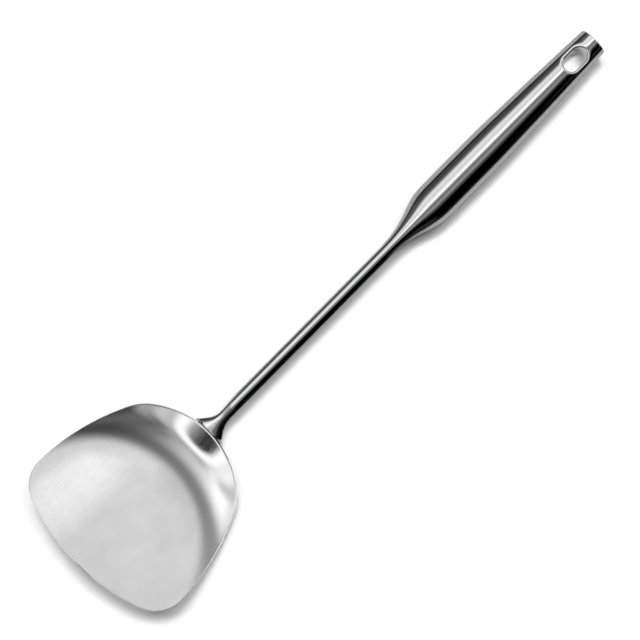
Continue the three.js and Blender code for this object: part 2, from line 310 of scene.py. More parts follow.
def bladeSteel():
    look = bladeFinish
    material, tree, shader, place = newMaterial("satin_blade_steel", look["tone"])
    middle = bladePlace @ Vector((-blade["floorReach"], 0, 0)) * toMetres
    flatten = 100       # so large that height over the floor hardly counts
    oval = addNode(tree, "ShaderNodeMapping", {
        "Vector": place, "Location": middle, "Rotation": (0, radians(blade["tilt"]), 0),
        "Scale": (blade["floorReach"] * toMetres, blade["halfWidth"] * toMetres, flatten),
    }, vector_type="TEXTURE").outputs[0]
    frontToHeel, toLeft, _ = addNode(tree, "ShaderNodeSeparateXYZ", {0: oval}).outputs
    beyond = addNode(tree, "ShaderNodeVectorMath", {0: oval}, operation="LENGTH").outputs["Value"]
    around = addNode(tree, "ShaderNodeTexGradient", {"Vector": oval}, gradient_type="RADIAL").outputs[1]

    # Satin floor with its buffed stretch and strokes
    grain = noise(tree, place, look["satinGrain"], 3)
    mottle = noise(tree, place, look["mottleScale"], 3)
    frontFrom, frontTo, frontShare = look["buffedFront"]
    heelFrom, heelTo, heelShare = look["buffedHeel"]
    buffed = product(
        tree, spread(tree, toLeft, *look["buffedFrom"], 0, 1, "SMOOTHSTEP"),
        spread(tree, beyond, *look["buffedTo"], 1, 0, "SMOOTHSTEP"),
        spread(tree, frontToHeel, frontFrom, frontTo, frontShare, 1, "SMOOTHSTEP"),
        spread(tree, frontToHeel, heelTo, heelFrom, 1, heelShare, "SMOOTHSTEP"))
    strokes = lineNoise(tree, place, look["strokeTurn"], look["strokeTightness"], 3, roughness=0.6)
    strokes = product(tree, fromNoise(tree, strokes, -0.5, 0.5),
                      spread(tree, buffed, 0, 1, *look["strokeRoughness"]))
    floor = spread(tree, buffed, 0, 1, look["floorRoughness"], look["buffedRoughness"])
    floor = mathNode(tree, "ADD", floor, fromNoise(tree, mottle, -look["mottle"], look["mottle"]))
    floor = mathNode(tree, "ADD", floor, strokes)

    # Polished wall, brushed outwards
    polar = addNode(tree, "ShaderNodeCombineXYZ", {
        0: product(tree, around, look["brushing"][0]), 1: product(tree, beyond, look["brushing"][1])})
    brush = noise(tree, polar.outputs[0], look["brushScale"], 4, roughness=0.65)
    wall = spread(tree, beyond, *look["creaseToWall"], look["creaseRoughness"], look["wallRoughness"])
    wall = mathNode(tree, "ADD", wall,
                    spread(tree, brush, *look["brushRange"], *look["brushRoughness"]))

    rolled = spread(tree, beyond, *look["floorToWall"], 0, 1, "SMOOTHSTEP")
    rough = addNode(tree, "ShaderNodeMix", {"Factor": rolled, "A": floor, "B": wall}).outputs[0]
    worn = wornEdges(tree)
    rough = mathNode(tree, "ADD", rough, product(tree, worn, look["wearRoughness"]))
    tree.links.new(rough, shader.inputs["Roughness"])
    tone = spread(tree, worn, 0, 1, look["tone"], look["wearTone"])
    tree.links.new(greyNode(tree, tone), shader.inputs["Base Color"])

    # Fine scratches from scraping: thin ridges of a stretched, bent noise
    scratch = lineNoise(tree, place, look["scratchTurn"], look["scratchTightness"], 2, distortion=0.4)
    ridge = mathNode(tree, "ABSOLUTE", mathNode(tree, "SUBTRACT", scratch, 0.5))
    line = spread(tree, ridge, 0, look["scratchWidth"], -look["scratchDepth"], 0)
    height = addNode(tree, "ShaderNodeMix", {
        "Factor": rolled, "A": mathNode(tree, "ADD", grain, line), "B": brush}).outputs[0]
    addBump(tree, shader, height, look["satinStrength"], look["satinDepth"])
    return material


def makeBlade():
    bm = bmesh.new()
    loop = rimLine(bm)
    blade["halfWidth"] = max(vert.co.y for vert in bm.verts) - blade["floorInset"]
    centre = Vector((-blade["floorReach"], 0, 0))
    rings = blade["wallRings"]
    wallShares = [lerp(1, blade["wallFromShare"], (ring + 1) / rings) for ring in range(rings)]
    share = 1
    for inner in [*wallShares, *blade["floorShares"]]:
        verts, loop = growRing(bm, loop)
        bmesh.ops.scale(bm, vec=(inner / share, inner / share, 1),
                        space=Matrix.Translation(-centre), verts=verts)
        share = inner
    bmesh.ops.pointmerge(bm, verts=verts, merge_co=centre)
    for vert in bm.verts:
        vert.co.z = pressedHeight(vert.co.x, vert.co.y)
    bmesh.ops.recalc_face_normals(bm, faces=bm.faces)
    if sum(face.normal.z for face in bm.faces) < 0:
        bmesh.ops.reverse_faces(bm, faces=bm.faces)
    bmesh.ops.solidify(bm, geom=bm.faces, thickness=blade["sheet"])
    edges = [edge for edge in bm.edges if len(edge.link_faces) == 2
             and edge.calc_face_angle() > radians(blade["sharpAngle"])]
    bmesh.ops.bevel(bm, geom=edges, offset=blade["edgeRound"], offset_type="OFFSET",
                    segments=blade["edgeSegments"], profile=0.5, affect="EDGES", material=-1,
                    clamp_overlap=False)
    bmesh.ops.transform(bm, matrix=bladePlace, verts=bm.verts)
    finishPiece(bm, "blade_sheet", "blade", bladeSteel(), blade["sharpAngle"])


makeBlade()

# Handle: two half shells; its outline by shares of its length and of its change in radius
handle = {
    "noseX": 35.8476,
    "axis": 10.85,
    "length": 152.5,
    "radius": 10.85,
    "buttRadius": 7.9,
    "noseLength": 36.9,
    "parallelLength": 32.3,
    "noseShares": [(0, 0), (0.17, 0.04), (0.33, 0.17), (0.5, 0.395), (0.67, 0.7), (0.83, 0.93),
                   (1, 1)],
    "taperShares": [(0, 0), (0.13, 0.05), (0.32, 0.22), (0.52, 0.4), (0.71, 0.62), (0.88, 0.83),
                    (1, 1)],
    "fairing": 1.0,                # the outline is averaged over points this far apart,
    "fairingWeights": (1, 2, 3, 4, 5, 4, 3, 2, 1),
    "wall": 0.8,
    "collar": 11,
    "weld": 1.2,
    "boreGap": 0.05,
    "capDisc": 1.2,
    "spacing": 0.9,
    "sides": 64,                   # round half the handle
    "sharpAngle": 50,
}
rodRadius = 3.4                    # the shank's round rod
handlePlace = Matrix.Translation((handle["noseX"], 0, handle["axis"]))

# Hanging slot, its rolled lip and its sleeve
hangSlot = {
    "land": 7.3,                   # between the slot and the butt end
    "length": 14.3,
    "width": 8.4,
    "cuts": 36,
    "cutMargin": 2,
    "lipRun": 2.2,                 # how far from the opening the sheet starts to roll in
    "lipSteps": 9,
    "lipPieces": 48,
    "lipEase": 1.6,                # how much slower it turns at first
    "sleeve": 0.8,
    "sleeveSides": 96,
}
slotX = handle["length"] - hangSlot["land"] - hangSlot["length"] / 2
slotCore = (hangSlot["length"] - hangSlot["width"]) / 2
lipStart = hangSlot["width"] / 2 + hangSlot["lipRun"]


# A smooth curve through the points of an outline
def readCurve(curve, along):
    i = 0
    while along > curve[i + 1][0] and i < len(curve) - 2:
        i += 1
    (x0, y0), (x1, y1) = curve[i], curve[i + 1]
    before, after = curve[max(i - 1, 0)], curve[min(i + 2, len(curve) - 1)]
    rise0 = (y1 - before[1]) / (x1 - before[0]) * (x1 - x0)
    rise1 = (after[1] - y0) / (after[0] - x0) * (x1 - x0)
    t = (along - x0) / (x1 - x0)
    return ((2 * t ** 3 - 3 * t ** 2 + 1) * y0 + (t ** 3 - 2 * t ** 2 + t) * rise0
            + (3 * t ** 2 - 2 * t ** 3) * y1 + (t ** 3 - t ** 2) * rise1)


def drawnRadius(x):
    if x <= 0:
        return rodRadius
    if x < handle["noseLength"]:
        share = readCurve(handle["noseShares"], x / handle["noseLength"])
        return lerp(rodRadius, handle["radius"], share)
    start = handle["noseLength"] + handle["parallelLength"]
    taper = max((x - start) / (handle["length"] - start), 0)
    return lerp(handle["radius"], handle["buttRadius"], readCurve(handle["taperShares"], taper))


# The outline as it is after buffing, with no kink left between its stretches
def handleRadius(x):
    weights = handle["fairingWeights"]
    middle = len(weights) // 2
    reach = [drawnRadius(x + (i - middle) * handle["fairing"]) * weight
             for i, weight in enumerate(weights)]
    return sum(reach) / sum(weights)


# A half round shell between two stations, closed and with its wall
def halfShell(start, end, sign):
    bm = bmesh.new()
    first = bm.verts.new((start, sign, 0))
    last = bm.verts.new((end, sign, 0))
    bmesh.ops.subdivide_edges(bm, edges=[bm.edges.new((first, last))],
                              cuts=ceil((end - start) / handle["spacing"]))
    for vert in bm.verts:
        vert.co.y = sign * handleRadius(vert.co.x)
    bmesh.ops.spin(bm, geom=bm.verts[:] + bm.edges[:], cent=(0, 0, 0), axis=(1, 0, 0),
                   angle=pi, steps=handle["sides"])
    bmesh.ops.recalc_face_normals(bm, faces=bm.faces)
    outward = sum(face.normal.dot(Vector((0, *face.calc_center_median().yz))) for face in bm.faces)
    if outward < 0:
        bmesh.ops.reverse_faces(bm, faces=bm.faces)
    bmesh.ops.solidify(bm, geom=bm.faces, thickness=handle["wall"])
    return bm


# Where a point of the plan lies from the slot: nearest point of its core, and the way out
def slotWay(x, y):
    core = slotX + clamp(x - slotX, -slotCore, slotCore)
    way = Vector((x - core, y))
    return core, way.normalized(), way.length


# The sheet rolls in: it leaves the outer face level with it and ends upright
def lipPoint(x, y, step):
    core, way, _ = slotWay(x, y)

    def surface(out):
        at = Vector((core, 0)) + way * out
        return sqrt(handleRadius(at.x) ** 2 - at.y ** 2)

    probe = 0.05
    slope = atan((surface(lipStart - probe) - surface(lipStart + probe)) / (2 * probe))
    pieces = hangSlot["lipPieces"]
    runs = []
    out, height = 0, 0
    for piece in range(pieces):
        share = (piece + 0.5) / pieces
        angle = lerp(slope, -pi / 2, share)
        length = 1 + hangSlot["lipEase"] * (1 - share) ** 2
        out += cos(angle) * length
        height += sin(angle) * length
        runs.append((out, height))
    scale = hangSlot["lipRun"] / runs[-1][0]
    out, height = runs[round(step / hangSlot["lipSteps"] * pieces) - 1]
    at = Vector((core, 0)) + way * (lipStart - out * scale)
    return Vector((at.x, at.y, surface(lipStart) + height * scale))


def isOuter(edge):
    return all(hypot(vert.co.y, vert.co.z) > handleRadius(vert.co.x) - handle["wall"] / 2
               for vert in edge.verts)


# Cuts the slot's outline through the sheet with short straight cuts, and rolls the outer edge in
def cutSlot(bm, sign):
    margin = hangSlot["cutMargin"]
    inside = [face for face in bm.faces if face.calc_center_median().z * sign > margin
              and slotWay(*face.calc_center_median().xy)[2] < lipStart + margin]
    for step in range(hangSlot["cuts"]):
        angle = (step + 0.5) / hangSlot["cuts"] * 2 * pi
        way = Vector((cos(angle), sin(angle), 0))
        at = Vector((slotX + (slotCore if way.x > 0 else -slotCore), 0, 0)) + way * lipStart
        near = [part for face in inside for part in (face, *face.edges, *face.verts)]
        cut = bmesh.ops.bisect_plane(bm, geom=list(dict.fromkeys(near)), dist=mergeReach / 2,
                                     plane_co=at, plane_no=way)
        inside = [part for part in cut["geom"] if isinstance(part, bmesh.types.BMFace)
                  and (part.calc_center_median() - at).dot(way) < 0]
    bmesh.ops.delete(bm, geom=inside, context="FACES")
    rims = [edge for edge in bm.edges if edge.is_boundary]
    outer = [edge for edge in rims if isOuter(edge)]
    inner = [edge for edge in rims if edge not in outer]
    for step in range(1, hangSlot["lipSteps"] + 1):
        verts, outer = growRing(bm, outer)
        for vert in verts:
            vert.co = lipPoint(vert.co.x, vert.co.y, step)
            vert.co.z *= sign
    bmesh.ops.bridge_loops(bm, edges=outer + inner)


def makeShell(name, node, sign):
    start = handle["collar"] + handle["weld"]
    end = handle["length"] - handle["capDisc"]
    bm = halfShell(start, end, sign)
    cutSlot(bm, sign)
    holdSeam(bm, (start + seamHold, 0, 0), (1, 0, 0))
    holdSeam(bm, (end - seamHold, 0, 0), (1, 0, 0))
    holdSeam(bm, (0, 0, sign * seamHold), (0, 0, 1))
    bmesh.ops.recalc_face_normals(bm, faces=bm.faces)
    bmesh.ops.transform(bm, matrix=handlePlace, verts=bm.verts)
    return finishPiece(bm, name, node, mirrorSteel, handle["sharpAngle"])


# Sleeve of the slot: an obround tube from lip to lip
def makeSleeve():
    sides = hangSlot["sleeveSides"]
    bm = bmesh.new()
    bmesh.ops.create_circle(bm, segments=sides, radius=hangSlot["width"] / 2)
    bmesh.ops.rotate(bm, verts=bm.verts, cent=(0, 0, 0), matrix=Matrix.Rotation(pi / sides, 3, "Z"))
    for vert in bm.verts:
        vert.co.x += slotX + (slotCore if vert.co.x > 0 else -slotCore)
        vert.co.z = lipPoint(vert.co.x, vert.co.y, hangSlot["lipSteps"]).z
    verts, _ = growRing(bm, bm.edges[:])
    for vert in verts:
        vert.co.z *= -1
    bmesh.ops.recalc_face_normals(bm, faces=bm.faces)
    centre = Vector((slotX, 0, 0))
    if sum(face.normal.dot(face.calc_center_median() - centre) for face in bm.faces) > 0:
        bmesh.ops.reverse_faces(bm, faces=bm.faces)
    bmesh.ops.solidify(bm, geom=bm.faces, thickness=hangSlot["sleeve"])
    bmesh.ops.transform(bm, matrix=handlePlace, verts=bm.verts)
    return finishPiece(bm, "slot_liner", "slot_sleeve", mirrorSteel)


mirrorSteel = polishedSteel()
upperShell = makeShell("upper_shell", "upper_handle_shell", 1)
makeShell("lower_shell", "lower_handle_shell", -1)
slotLiner = makeSleeve()
# The lower shell casts the handle's shadow, so that light falls through the slot onto the table
upperShell.visible_shadow = False
slotLiner.visible_shadow = False


# Turned pieces: an outline of x and radius, spun about the handle's axis
def turnedPiece(outline):
    bm = bmesh.new()
    verts = [bm.verts.new((x, 0, radius)) for x, radius in outline]
    for i, vert in enumerate(verts[:-1]):
        bm.edges.new((vert, verts[i + 1]))
    if outline[0][1] and outline[-1][1]:
        bm.edges.new((verts[-1], verts[0]))
    bmesh.ops.spin(bm, geom=bm.verts[:] + bm.edges[:], cent=(0, 0, 0), axis=(1, 0, 0),
                   angle=2 * pi, steps=2 * handle["sides"], use_merge=True)
    bmesh.ops.remove_doubles(bm, verts=bm.verts, dist=mergeReach)
    bmesh.ops.recalc_face_normals(bm, faces=bm.faces)
    return bm


# Cap: a disc with a skirt that slips into the shells
cap = {
    "skirt": 0.8,
    "skirtGap": 0.1,
    "sleeveGap": 0.6,
    "round": 0.5,
    "roundSegments": 5,
}


def makeCap():
    start = handle["length"] - handle["capDisc"]
    end = handle["length"]
    skirt = handleRadius(start) - handle["wall"] - cap["skirtGap"]
    skirtEnd = handle["length"] - hangSlot["land"] + hangSlot["sleeve"] + cap["sleeveGap"]
    bm = turnedPiece([
        (start, 0), (start, skirt - cap["skirt"]), (skirtEnd, skirt - cap["skirt"]),
        (skirtEnd, skirt), (start, skirt), (start, handleRadius(start)),
        (start + seamHold, handleRadius(start + seamHold)), (end, handleRadius(end)), (end, 0),
    ])
    corner = [edge for edge in bm.edges
              if all(vert.co.x > end - seamHold / 2 and hypot(vert.co.y, vert.co.z) > skirt / 2
                     for vert in edge.verts)]
    bmesh.ops.bevel(bm, geom=corner, offset=cap["round"], offset_type="OFFSET",
                    segments=cap["roundSegments"], profile=0.5, affect="EDGES", material=-1,
                    clamp_overlap=True)
    bmesh.ops.transform(bm, matrix=handlePlace, verts=bm.verts)
    finishPiece(bm, "butt_cap", "end_cap", mirrorSteel)


def makeNoseRing():
    start = handle["collar"]
    end = start + handle["weld"]
    stations = (start, start + seamHold, (start + end) / 2, end - seamHold, end)
    bore = rodRadius + handle["boreGap"]
    bm = turnedPiece([*((x, handleRadius(x)) for x in stations), (end, bore), (start, bore)])
    bmesh.ops.transform(bm, matrix=handlePlace, verts=bm.verts)
    finishPiece(bm, "nose_ring", "nose_weld", mirrorSteel)


makeCap()
makeNoseRing()

# Shank: flattened root under the wall, flare, bend and level run into the handle
shank = {
    "bendRadius": 47,
    "rootHalfWidth": 11.5,
    "rootNeckHalfWidth": 8.9,
    "rootReach": 13,
    "rootShares": (0.997, 0.985, 0.96, 0.92, 0.87, 0.81, 0.74, 0.66, 0.58, 0.48, 0.36, 0.24, 0.12),
    "tipRoundShare": 0.55,
    "flareLength": 13,
    "flarePower": 2.2,
    "flareRings": 30,
    "clearance": 0.3,
    "levelRun": 4,                 # from the bend's end to the rings of the nose
    "ringSpacing": 0.8,
    "noseLead": 6,                 # rings of the nose start this far before it
    "tang": 24,
    "tangChamfer": 0.8,
    "sides": 96,
    "ridge": 2.3,
    "ridgeStart": 0.05,
    "ridgeLength": 18,
    "rimReach": 6,
}
neckPitch = radians(blade["wallPitch"] - blade["tilt"])
rootDrop = shank["clearance"] + rodRadius ** 2 / shank["rootNeckHalfWidth"]
rootStart = underSheet(blade["wallRun"], 0, blade["sheet"] + rootDrop)
bendStart = ((handle["axis"] - rootStart.z) / sin(neckPitch)
             - shank["bendRadius"] * tan(neckPitch / 2))
bendEnd = bendStart + shank["bendRadius"] * neckPitch


def neckLine(s):
    pitch = neckPitch - clamp((s - bendStart) / shank["bendRadius"], 0, neckPitch)
    sloped, level = min(s, bendStart), max(s - bendEnd, 0)
    at = rootStart + Vector((
        sloped * cos(neckPitch) + level + shank["bendRadius"] * (sin(neckPitch) - sin(pitch)), 0,
        sloped * sin(neckPitch) + shank["bendRadius"] * (cos(pitch) - cos(neckPitch))))
    return at, pitch


# Half width and half thickness of the root and the flare
def rootSection(s):
    hidden = max(-s / shank["rootReach"], 0)
    flare = max(1 - max(s, 0) / shank["flareLength"], 0) ** shank["flarePower"]
    width = lerp(lerp(rodRadius, shank["rootNeckHalfWidth"], flare), shank["rootHalfWidth"], hidden)
    tip = max((hidden - shank["tipRoundShare"]) / (1 - shank["tipRoundShare"]), 0)
    rounding = sqrt(max(1 - tip ** 2, 0))
    return width * rounding, rodRadius ** 2 / width * rounding


def ringPlace(s, halfWidth, halfThickness):
    at, pitch = neckLine(s)
    up = Vector((-sin(pitch), 0, cos(pitch)))
    if s < 0:
        at = at + up * (rootSection(0)[1] - halfThickness)   # the hidden root stays flush with the wall
    side = Vector((0, 1, 0))
    turn = Matrix((side * halfWidth, up * halfThickness, side.cross(up))).transposed().to_4x4()
    return Matrix.Translation(at) @ turn


# Behind the rim the upper side of the flare is a soft ridge, ground flush with the sheet
def ridgeLift(at):
    behind = at.x - rootStart.x
    line, pitch = neckLine(behind)
    if not shank["ridgeStart"] < behind < shank["ridgeLength"] or at.z < line.z:
        return Vector((0, 0, 0))
    share = min(abs(at.y) / rootSection(behind)[0], 1)
    lift = shank["ridge"] * (1 - behind / shank["ridgeLength"]) ** 2 * (1 - share ** 2)
    return Vector((-sin(pitch), 0, cos(pitch))) * lift


# The rings near the rim bend with its curve, so the ridge leaves no gap beside the sheet's edge
def rimFollow(at):
    behind = at.x - rootStart.x
    radius = blade["rimArcs"][0][0]
    sag = radius - sqrt(radius ** 2 - at.y ** 2)
    near = max(1 - abs(behind) / shank["rimReach"], 0)
    return Vector((-cos(neckPitch), 0, -sin(neckPitch))) * sag * near


# Stations along the shank, each with its half width and half thickness
def shankRings():
    flareEnd, flareRings = shank["flareLength"], shank["flareRings"]
    stations = [-shank["rootReach"] * share for share in shank["rootShares"]]
    stations += [0, shank["ridgeStart"], shank["ridgeStart"] * 2]
    stations += [flareEnd * (step + 1) / flareRings for step in range(flareRings)]
    rings = [(s, *rootSection(s)) for s in stations]
    levelEnd = bendEnd + shank["levelRun"]
    rodRings = ceil((levelEnd - flareEnd) / shank["ringSpacing"])
    rings += [(lerp(flareEnd, levelEnd, (step + 1) / rodRings), rodRadius, rodRadius)
              for step in range(rodRings)]
    noseS = bendEnd + handle["noseX"] - neckLine(bendEnd)[0].x
    collar = handle["collar"]
    for x in [*range(-shank["noseLead"], collar), collar - seamHold, collar]:
        rings.append((noseS + x, handleRadius(x), handleRadius(x)))
    tangEnd = noseS + collar + shank["tang"]
    for s, radius in ((noseS + collar, rodRadius), (tangEnd - shank["tangChamfer"], rodRadius),
                      (tangEnd, rodRadius - shank["tangChamfer"])):
        rings.append((s, radius, radius))
    return rings


def makeShank():
    places = [ringPlace(*ring) for ring in shankRings()]
    bm = bmesh.new()
    bmesh.ops.create_circle(bm, segments=shank["sides"], radius=1)
    bmesh.ops.transform(bm, matrix=places[0], verts=bm.verts)
    loop = bm.edges[:]
    for place, following in zip(places, places[1:]):
        verts, loop = growRing(bm, loop)
        bmesh.ops.transform(bm, matrix=following @ place.inverted(), verts=verts)
    bmesh.ops.edgeloop_fill(bm, edges=loop)
    bmesh.ops.edgeloop_fill(bm, edges=[edge for edge in bm.edges if edge.is_boundary])
    bmesh.ops.recalc_face_normals(bm, faces=bm.faces)
    for vert in bm.verts:
        vert.co += ridgeLift(vert.co) + rimFollow(vert.co)
    finishPiece(bm, "shank_rod", "shank", mirrorSteel)


makeShank()

# Weld bead round the hidden root: a rippled cord of metal in the corner under the wall
bead = {
    "radius": 0.6,
    "sideShares": (0.16, 0.3, 0.45, 0.6, 0.74, 0.85, 0.93, 0.98),    # of the root's reach
    "smoothness": 14,
    "roundness": 5,
    "rippleAcross": (5.2, 0.045),      # radians per millimetre, and depth
    "rippleAlong": (4.4, 0.03),
}


def beadLine():
    reach = shank["rootReach"]
    out = shank["clearance"] + bead["radius"]
    side = [(-reach * share, rootSection(-reach * share)[0]) for share in bead["sideShares"]]
    edge = [(x, -y) for x, y in side] + [(-reach, 0)] + [(x, y) for x, y in reversed(side)]
    for i, (x, y) in enumerate(edge):
        before, after = edge[max(i - 1, 0)], edge[min(i + 1, len(edge) - 1)]
        along = Vector((after[0] - before[0], after[1] - before[1]))
        offset = Vector((-along.y, along.x)).normalized() * out
        yield underSheet(blade["wallRun"] + (x + offset.x) * cos(radians(blade["wallPitch"])),
                         y + offset.y, blade["sheet"] + out)


def makeBead():
    points = list(beadLine())
    curve = bpy.data.curves.new("bead_line", "CURVE")
    curve.dimensions = "3D"
    line = curve.splines.new("NURBS")
    line.points.add(len(points) - 1)
    for point, at in zip(line.points, points):
        point.co = (*at, 1)
    line.order_u = 4
    line.use_endpoint_u = True
    line.resolution_u = bead["smoothness"]
    curve.bevel_depth = bead["radius"]
    curve.bevel_resolution = bead["roundness"]
    curve.use_fill_caps = True
    cord = bpy.data.objects.new("bead_line", curve)
    bpy.context.scene.collection.objects.link(cord)
    bm = bmesh.new()
    bm.from_mesh(cord.to_mesh())
    cord.to_mesh_clear()
    bpy.data.objects.remove(cord)
    bpy.data.curves.remove(curve)
    bmesh.ops.remove_doubles(bm, verts=bm.verts, dist=mergeReach)
    bmesh.ops.recalc_face_normals(bm, faces=bm.faces)
    (acrossRate, acrossDepth), (alongRate, alongDepth) = bead["rippleAcross"], bead["rippleAlong"]
    for vert in bm.verts:
        ripple = sin(vert.co.y * acrossRate) * acrossDepth + sin(vert.co.x * alongRate) * alongDepth
        vert.co += vert.normal * ripple
    finishPiece(bm, "root_bead", "root_weld", weldSteel())


makeBead()

# Studio; from here on all lengths are in metres
studio = {
    "gain": 1.32,                      # the steel keeps 3/4 of the light that it mirrors
    "ambient": 0.03,
}

# The floor is white to the camera; in the steel its colour is painted reflection: grey tones painted
# beside the piece that end a little way out on both sides, and nearly black past them
floorAndPaintedReflection = {
    "reach": 2.5,
    "tone": 0.98,
    "paintedBesideBlade": {"level": 1.0, "edge": (0.1, 0.13)},
    "paintedBesideHandle": {"level": 0.4, "edge": (0.055, 0.085)},
    "change": (-0.085, -0.07),         # along the piece, from the blade's to the handle's
    "beyond": 0.02,                    # level past the edges
    # A dark patch is painted on the floor beside the neck, seen only in the steel, on the side that its
    # shadow falls to
    "paintedDarkEnd": (0.055, 0.035),
    "paintedDarkSide": (0.001, -0.001),
    "paintedDarkWidths": (-0.012, -0.1),      # at the blade it is narrow
    "paintedDarkStep": (-0.0838, -0.083),
    "paintedDarkSoft": 0.002,
    # and painted light makes the floor bright under the handle's end, where only the slot's sleeve
    # looks
    "paintedLightUnderSlot": {"aside": (0.009, 0.006), "from": (0.14, 0.15)},
}


def bareMaterial(name):
    material = bpy.data.materials.new(name)
    material.use_nodes = True
    material.node_tree.nodes.clear()
    return material


def stageGrid(name, segments, size, material):
    bm = bmesh.new()
    bmesh.ops.create_grid(bm, x_segments=segments, y_segments=segments, size=size)
    mesh = bpy.data.meshes.new(name)
    bm.to_mesh(mesh)
    bm.free()
    mesh.materials.append(material)
    grid = bpy.data.objects.new(name, mesh)
    bpy.context.scene.collection.objects.link(grid)
    return grid


def makeFloor():
    material = bareMaterial("white_floor_and_painted_reflection")
    tree = material.node_tree
    place = addNode(tree, "ShaderNodeTexCoord").outputs["Object"]
    x, y, _ = addNode(tree, "ShaderNodeSeparateXYZ", {0: place}).outputs
    # Painted reflection: the floor's tones as the steel sees them, set place by place
    aside = mathNode(tree, "ABSOLUTE", y)
    levels = [spread(tree, aside, *card["edge"], card["level"], floorAndPaintedReflection["beyond"])
              for card in (floorAndPaintedReflection["paintedBesideBlade"], floorAndPaintedReflection["paintedBesideHandle"])]
    level = spread(tree, x, *floorAndPaintedReflection["change"], *levels)
    # Painted dark patch beside the neck: painted shade that only the steel sees
    far = spread(tree, x, *floorAndPaintedReflection["paintedDarkStep"], *floorAndPaintedReflection["paintedDarkWidths"])
    flag = product(tree, spread(tree, x, *floorAndPaintedReflection["paintedDarkEnd"], 0, 1),
                   spread(tree, y, *floorAndPaintedReflection["paintedDarkSide"], 0, 1),
                   spread(tree, y, far, mathNode(tree, "ADD", far, floorAndPaintedReflection["paintedDarkSoft"]), 0, 1))
    level = product(tree, level, mathNode(tree, "SUBTRACT", 1, flag))
    # Painted light: a bright patch under the slot, seen only in the sleeve
    under = product(tree, spread(tree, aside, *floorAndPaintedReflection["paintedLightUnderSlot"]["aside"], 0, 1),
                    spread(tree, x, *floorAndPaintedReflection["paintedLightUnderSlot"]["from"], 0, 1))
    level = spread(tree, under, 0, 1, level, 1)
    white = addNode(tree, "ShaderNodeBsdfDiffuse", {"Color": grey(floorAndPaintedReflection["tone"])})
    paintedInSteel = addNode(tree, "ShaderNodeBsdfDiffuse", {"Color": greyNode(tree, level)})
    rays = addNode(tree, "ShaderNodeLightPath")
    mixed = addNode(tree, "ShaderNodeMixShader", {
        0: rays.outputs["Is Glossy Ray"], 1: white.outputs[0], 2: paintedInSteel.outputs[0]})
    addNode(tree, "ShaderNodeOutputMaterial", {"Surface": mixed.outputs[0]})
    stageGrid("studio_floor", 4, floorAndPaintedReflection["reach"], material)


# What the steel mirrors: a tent of light strips. A stop is an angle across the piece, in degrees from
# straight up, and how bright the tent is there; a change is where the next strips take over, in
# degrees along the piece
tent = {
    "strips": [(-70, 0.05), (-58, 0.26), (-36, 0.28), (-24, 0.26), (-12, 0.21), (0, 0.18), (12, 0.11),
               (24, 0.06), (34, 0.05), (44, 0.1), (52, 0.02), (60, 0)],
    "changes": [
        # High on the wall
        ((-2, -32), [(-64, 0.08), (-52, 0.7), (-42, 1.0), (-30, 1.0), (-24, 0.84), (-12, 0.6),
                     (0, 0.52), (10, 0.38), (18, 0.2), (30, 0.12), (44, 0.12), (54, 0.02)]),
        # Under the rim
        ((-36, -43), [(-62, 0.08), (-50, 0.5), (-36, 0.58), (-29, 0.8), (-25, 0.87), (-18, 0.62),
                      (-12, 0.44), (0, 0.45), (6, 0.4), (18, 0.31), (25, 0.18), (30, 0.14),
                      (38, 0.22), (48, 0.38), (54, 0.02)]),
        # Behind the rim
        ((-43.5, -48.5), [(-60, 0.08), (-50, 0.9), (-42, 0.97), (-36, 0.92), (-24, 0.74),
                          (-15, 0.62), (0, 0.55), (15, 0.42), (28, 0.46), (36, 0.58), (48, 0.58),
                          (54, 0.02)]),
    ],
    # Dark opening with a bright edge: its middle in degrees along and across, then its radii. Inside
    # it turns brighter from one side to the other
    "opening": {"along": -61, "across": -1.5, "squash": 0.42, "dark": 8.2, "edge": 11.5,
                "bright": 12.6, "end": 16.6, "edgeLevel": 1.02, "turn": (-4, 18),
                "levels": (0.03, 0.42)},
    "window": {"from": 9, "to": 33, "level": 0.56, "flatAcross": 56, "softAcross": 82},
    "lamp": {"along": 34, "flat": 2, "soft": 8, "flatAcross": 6, "softAcross": 30, "level": 1.0},
}


def lightRamp(tree, angle, stops):
    place = spread(tree, angle, radians(-90), radians(90), 0, 1)
    ramp = addNode(tree, "ShaderNodeValToRGB", {"Fac": place})
    points = ramp.color_ramp.elements
    while len(points) < len(stops):
        points.new(0.5)
    for point, (degrees, level) in zip(points, stops):
        point.position = (degrees + 90) / 180
        point.color = grey(level)
    return ramp.outputs["Color"]


